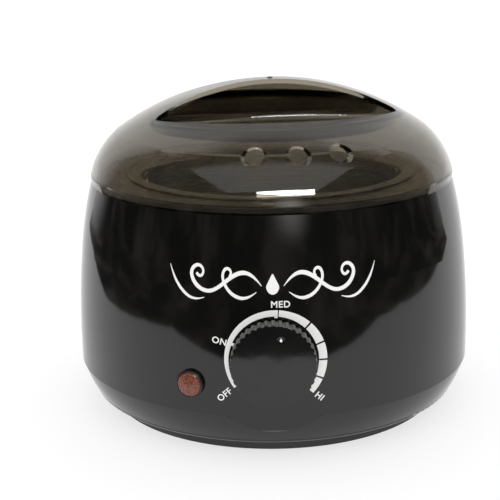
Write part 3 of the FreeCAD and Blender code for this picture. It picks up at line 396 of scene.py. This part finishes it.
def lead_green():
    """Green and yellow stripes, as an earth lead has."""
    paint = Paint("lead_green")
    x, y, z = paint.axes()
    stripe = ((x - y + z) * 900).sine().ramp(-0.1, 0.1)
    return paint.set(
        base_color=paint.mix(stripe, (0.05, 0.26, 0.035), (0.68, 0.52, 0.03)),
        roughness=0.36 + 0.2 * paint.noise(160, 5.0),
        normal=paint.bump(paint.noise(900, 2.0), 0.02 * MM),
    )


def lead_white():
    return insulation("lead_white", (0.72, 0.70, 0.63))


def resistor_body():
    """Lacquered ceramic with colour rings."""
    paint = Paint("resistor_body")
    ring = (paint.axes()[0] * 3600).sine().ramp(0.55, 0.7)
    return paint.set(
        base_color=paint.mix(ring, (0.24, 0.42, 0.44), (0.35, 0.12, 0.05)),
        roughness=0.3 + 0.15 * paint.noise(200, 3.0),
        normal=paint.bump(paint.noise(700, 3.0), 0.03 * MM),
    )


def print_white():
    """Screen-printed white ink, slightly uneven and matt against the polished black."""
    paint = Paint("print_white")
    uneven = paint.noise(420, 4.0)
    pinholes = dust(paint, 900, 0.08)
    return paint.set(
        base_color=paint.mix(pinholes, (0.92, 0.92, 0.90), (0.45, 0.45, 0.44)),
        roughness=0.32 + 0.2 * uneven,
        normal=paint.bump(uneven, 0.02 * MM),
    )


FINISHES = (
    gloss_black, knob_black, smoked_clear, aluminium, steel, stainless_wire, brass, copper,
    silicone, black_rubber, mica, glass_fibre, phenolic, nylon_black, nylon_white, amber_clear,
    bulb_glass, lead_brown, lead_blue, lead_green, lead_white, resistor_body, print_white,
)
PAINTS = {finish.__name__: finish() for finish in FINISHES}


def paint_nodes():
    """Gives each CAD node the finish of its material slot."""
    for part in frame["record"]["subparts"]:
        slots = NODES[part["node"]].data.materials
        slots.clear()
        slots.append(PAINTS[part["material_slot"]])


# Prints


def linked(name, data):
    """A mesh, curve, camera or lamp as an object in the scene."""
    thing = bpy.data.objects.new(name, data)
    bpy.context.scene.collection.objects.link(thing)
    return thing


def piece(name, bm, material):
    """What bmesh has built, as an object in the scene."""
    mesh = bpy.data.meshes.new(name)
    bm.to_mesh(mesh)
    bm.free()
    mesh.materials.append(material)
    return linked(name, mesh)


def meshed(name, curve):
    """A curve's mesh."""
    drawn = linked(name, curve)
    bpy.context.view_layer.update()
    mesh = bpy.data.meshes.new_from_object(drawn)
    bpy.data.objects.remove(drawn)
    return mesh


def new_verts(grown):
    """The vertices among what a bmesh operator has made."""
    return [part for part in grown["geom"] if isinstance(part, bmesh.types.BMVert)]


def printed(name, bm, node, body):
    """Lays a drawing made in x and z on the front of a node, as a thin film of ink."""
    front = BVHTree.FromObject(NODES[node], bpy.context.evaluated_depsgraph_get())
    for vertex in bm.verts:
        above = Vector((vertex.co.x, -1.0, vertex.co.z))
        vertex.co.y += front.ray_cast(above, Vector((0.0, 1.0, 0.0)))[0].y
    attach(piece(name, bm, PAINTS["print_white"]), body)


def thickened(bm):
    """Gives flat ink its thickness: from just under the skin to just above it."""
    grown = bmesh.ops.extrude_face_region(bm, geom=list(bm.faces), use_keep_orig=True)
    bmesh.ops.translate(bm, vec=(0.0, -INK, 0.0), verts=new_verts(grown))
    bmesh.ops.translate(bm, vec=(0.0, 0.2 * INK, 0.0), verts=bm.verts)
    bmesh.ops.recalc_face_normals(bm, faces=bm.faces)


def scale_inner(angle):
    """The scale's inner radius: a thin tail at off that widens to a broad band at high."""
    thick = 2.5
    if angle < 0.0:
        thick -= 1.3 * (angle / SCALE_ENDS[0]) ** 1.5
    else:
        thick += 0.85 * min(1.0, angle / 60.0)
        thick -= 0.7 * max(0.0, angle / 100.0 - 1.0) / 0.34
    return SCALE_OUTER - thick * MM


def band(bm, start, end, inner=scale_inner, outer=SCALE_OUTER):
    """A flat arc of ink between two angles, clockwise from the dial's top."""
    before = set(bm.verts)
    first = [bm.verts.new(DIAL + Vector((0.0, 0.0, radius))) for radius in (SCALE_GUIDE, outer)]
    edge = bm.edges.new(first)
    bmesh.ops.rotate(bm, cent=DIAL, matrix=Matrix.Rotation(math.radians(start), 3, "Y"), verts=first)
    sweep = math.radians(end - start)
    steps = max(1, round((end - start) / 2.5))
    bmesh.ops.spin(bm, geom=[*first, edge], cent=DIAL, axis=(0, 1, 0), angle=sweep, steps=steps)
    for vertex in set(bm.verts) - before:
        out = vertex.co - DIAL
        if out.length < SCALE_GUIDE + INK:
            vertex.co = DIAL + out.normalized() * inner(math.degrees(math.atan2(out.x, out.z)))


def dial_scale():
    """The arc round the knob, with its gaps and the short ticks on its inner side."""
    bm = bmesh.new()
    start = SCALE_ENDS[0]
    for gap, half in SCALE_GAPS:
        band(bm, start, gap - half)
        start = gap + half
    band(bm, start, SCALE_ENDS[1])
    for start, end, inner in SCALE_TICKS:
        band(bm, start, end, lambda angle: inner * MM, 19.0 * MM)
    thickened(bm)
    printed("dial_scale", bm, "outer_housing", "housing")


def word(name, text, x, z, turn):
    """A dial word, centred at a spot beside the dial and turned anticlockwise by some degrees."""
    curve = bpy.data.curves.new(name, "FONT")
    curve.body = text
    curve.size = WORD_SIZE
    curve.space_character = 1.1
    curve.extrude = 0.5 * INK
    curve.bevel_depth = 0.022 * WORD_SIZE
    curve.align_x, curve.align_y = "CENTER", "CENTER"
    bm = bmesh.new()
    bm.from_mesh(meshed(name + "_letters", curve))
    bmesh.ops.scale(bm, vec=(1.0, 1.0, 0.5), verts=bm.verts)
    bmesh.ops.remove_doubles(bm, verts=bm.verts, dist=0.002 * MM)
    upright = Matrix.Rotation(math.radians(90), 4, "X")
    turned = Matrix.Rotation(math.radians(-turn), 4, "Y")
    spot = Matrix.Translation(KNOB_AXIS + Vector((x, 0.0, z)) * MM)
    bmesh.ops.transform(bm, matrix=spot @ turned @ upright, verts=bm.verts)
    bmesh.ops.recalc_face_normals(bm, faces=bm.faces)
    printed(name, bm, "outer_housing", "housing")


def stroke(points):
    """A brush stroke as a round rod."""
    curve = bpy.data.curves.new("stroke", "CURVE")
    curve.dimensions = "3D"
    curve.bevel_depth = STROKE_RADIUS * MM
    curve.bevel_resolution = 2
    curve.use_fill_caps = True
    line = curve.splines.new("NURBS")
    line.points.add(len(points) - 1)
    for place, (x, z, share) in zip(line.points, points):
        place.co = (x * MM, 0.0, z * MM, 1.0)
        place.radius = share
    line.order_u = 4
    line.use_endpoint_u = True
    line.resolution_u = 10
    return meshed("stroke_line", curve)


def ornament():
    """A drop of wax between two curling strokes, where such warmers carry a name."""
    bm = bmesh.new()
    for points in ORNAMENT:
        bm.from_mesh(stroke(points))
    bmesh.ops.scale(bm, vec=(1.0, 0.06, 1.0), verts=bm.verts)
    half = list(bm.verts) + list(bm.edges) + list(bm.faces)
    bmesh.ops.mirror(bm, geom=half, axis="X", merge_dist=0.0)
    drop = bmesh.ops.create_uvsphere(bm, u_segments=32, v_segments=16, radius=DROP_RADIUS * MM)["verts"]
    for vertex in drop:
        x, y, z = vertex.co / MM
        reach = max(0.0, z / DROP_RADIUS)
        pinch = 1.0 - 0.62 * reach ** 1.2
        vertex.co = Vector((x * pinch, 0.02 * y, z * (1.0 + 0.55 * reach) + 76.4)) * MM
    taller = Matrix.Translation((0.0, 0.0, -ORNAMENT_MIDDLE))
    bmesh.ops.scale(bm, vec=(1.0, 1.0, 1.25), space=taller, verts=bm.verts)
    bmesh.ops.recalc_face_normals(bm, faces=bm.faces)
    printed("ornament", bm, "outer_housing", "housing")


def pointer():
    """The white drop that marks the knob's setting."""
    bm = bmesh.new()
    bmesh.ops.create_circle(bm, cap_ends=True, segments=28, radius=MARK_RADIUS * MM)
    for vertex in bm.verts:
        x, y, _ = vertex.co / MM
        reach = max(0.0, y / MARK_RADIUS)
        vertex.co = Vector((x * (1.0 - 0.55 * reach), 0.0, y * (1.0 + 0.95 * reach))) * MM
    bmesh.ops.translate(bm, vec=MARK, verts=bm.verts)
    thickened(bm)
    printed("pointer", bm, "control_knob", "knob")


# Studio


def placed(thing, place, aim, roll=0.0):
    """Puts a camera or lamp at a place, turned to face a spot; both in millimetres."""
    place, aim = Vector(place) * MM, Vector(aim) * MM
    turn = (aim - place).to_track_quat("-Z", "Y").to_matrix().to_4x4()
    thing.matrix_world = Matrix.Translation(place) @ turn @ Matrix.Rotation(math.radians(roll), 4, "Z")
    return thing


def camera():
    """Sees the pot from in front, a little above its rim."""
    data = bpy.data.cameras.new("camera")
    data.lens = 86.2
    data.sensor_width = 36.0
    data.clip_start = 10 * MM
    seen_from = placed(linked("camera", data), (0.0, -541.5, 216.65), (-10.4, 0.0, 67.2), -1.07)
    bpy.context.scene.camera = seen_from


def lamp(name, place, aim, width, height, watts):
    """A rectangular soft light, not seen directly."""
    data = bpy.data.lights.new(name, "AREA")
    data.shape = "RECTANGLE"
    data.size, data.size_y = width * MM, height * MM
    data.energy = watts
    light = placed(linked(name, data), place, aim)
    light.visible_camera = light.visible_diffuse = False
    return light


def floor():
    """A wide pale table top."""
    bm = bmesh.new()
    bmesh.ops.create_circle(bm, cap_ends=True, segments=96, radius=30.0)
    paint = Paint("floor_white")
    tone = paint.mix(paint.noise(3, 3.0), (0.36, 0.36, 0.36), (0.34, 0.34, 0.34))
    paint.set(base_color=tone, roughness=0.8, emission_color=(1.0, 1.0, 1.0), emission_strength=0.70)
    piece("floor", bm, paint.material)


def mirrored_only(name, bm, paint, tone, strength):
    """A glowing surface that shows in reflections and nowhere else."""
    paint.set(base_color=(0.0, 0.0, 0.0), emission_color=tone, emission_strength=strength, roughness=1.0)
    thing = piece(name, bm, paint.material)
    for ray in ("camera", "diffuse", "transmission", "shadow"):
        setattr(thing, "visible_" + ray, False)


def wall(bm, outline, levels):
    """A wall over an open outline. Each level widens the one below it and lifts it, its sides the most."""
    verts = [bm.verts.new(Vector((x, y, 1.0)) * MM) for x, y in outline]
    top = [bm.edges.new(pair) for pair in zip(verts, verts[1:])]
    for out, rise, sides in levels:
        verts = new_verts(bmesh.ops.extrude_edge_only(bm, edges=top))
        top = [edge for edge in bm.edges if set(edge.verts) <= set(verts)]
        bmesh.ops.scale(bm, vec=(out, out, 1.0), verts=verts)
        for vertex in verts:
            vertex.co.z += rise * MM + sides * max(0.0, abs(vertex.co.x) - 150 * MM)


def dark_room():
    """The dim room that the gloss mirrors past the white table, in front of the pot and beside it."""
    bm = bmesh.new()
    wall(bm, ROOM_OUTLINE, ROOM_LEVELS)
    paint = Paint("room_dim")
    shapes = paint.noise(1.0, 4.0, 0.6, where=paint.stretched(7, 7, 5))
    tone = paint.mix(shapes.ramp(0.42, 0.72), (0.003, 0.003, 0.003), (0.08, 0.07, 0.06))
    x, y, z = paint.axes()
    from_glow = ((x - 85 * MM) ** 2 + (z - 250 * MM) ** 2) ** 0.5
    glow = from_glow.ramp(150 * MM, 0.0)
    tone = paint.mix(glow * glow, tone, (1.0, 0.98, 0.94))
    tone = paint.mix(y.ramp(0.25, 0.85), tone, (0.385, 0.385, 0.385))
    mirrored_only("dark_room", bm, paint, tone, 2.6)


def dark_ceiling():
    """A dim strip straight overhead, which the lid mirrors across its middle."""
    bm = bmesh.new()
    bmesh.ops.create_grid(bm, x_segments=1, y_segments=1, size=1.0)
    bmesh.ops.scale(bm, vec=(2.0, 0.5, 1.0), verts=bm.verts)
    bmesh.ops.translate(bm, vec=(0.0, -0.02, 1.1), verts=bm.verts)
    paint = Paint("ceiling_dim")
    middle = 0.05 * paint.noise(2, 2.0) - 0.03
    aside = ((paint.axes()[1] - middle) ** 2) ** 0.5
    tone = paint.mix(aside.ramp(0.14, 0.40), (0.02, 0.019, 0.017), (1.0, 1.0, 1.0))
    mirrored_only("dark_ceiling", bm, paint, tone, 1.0)


def surroundings():
    """Even white light from all round."""
    world = bpy.data.worlds.new("surroundings")
    world.use_nodes = True
    world.node_tree.nodes["Background"].inputs["Color"].default_value = (1.0, 1.0, 1.0, 1.0)
    bpy.context.scene.world = world


paint_nodes()
dial_scale()
for label in WORDS:
    word(*label)
ornament()
pointer()
surroundings()
floor()
dark_room()
dark_ceiling()
camera()
lamp("front_window", (72, -460, 385), (0, 0, 110), 300, 60, 2.0)
bpy.context.scene.view_settings.view_transform = "Standard"
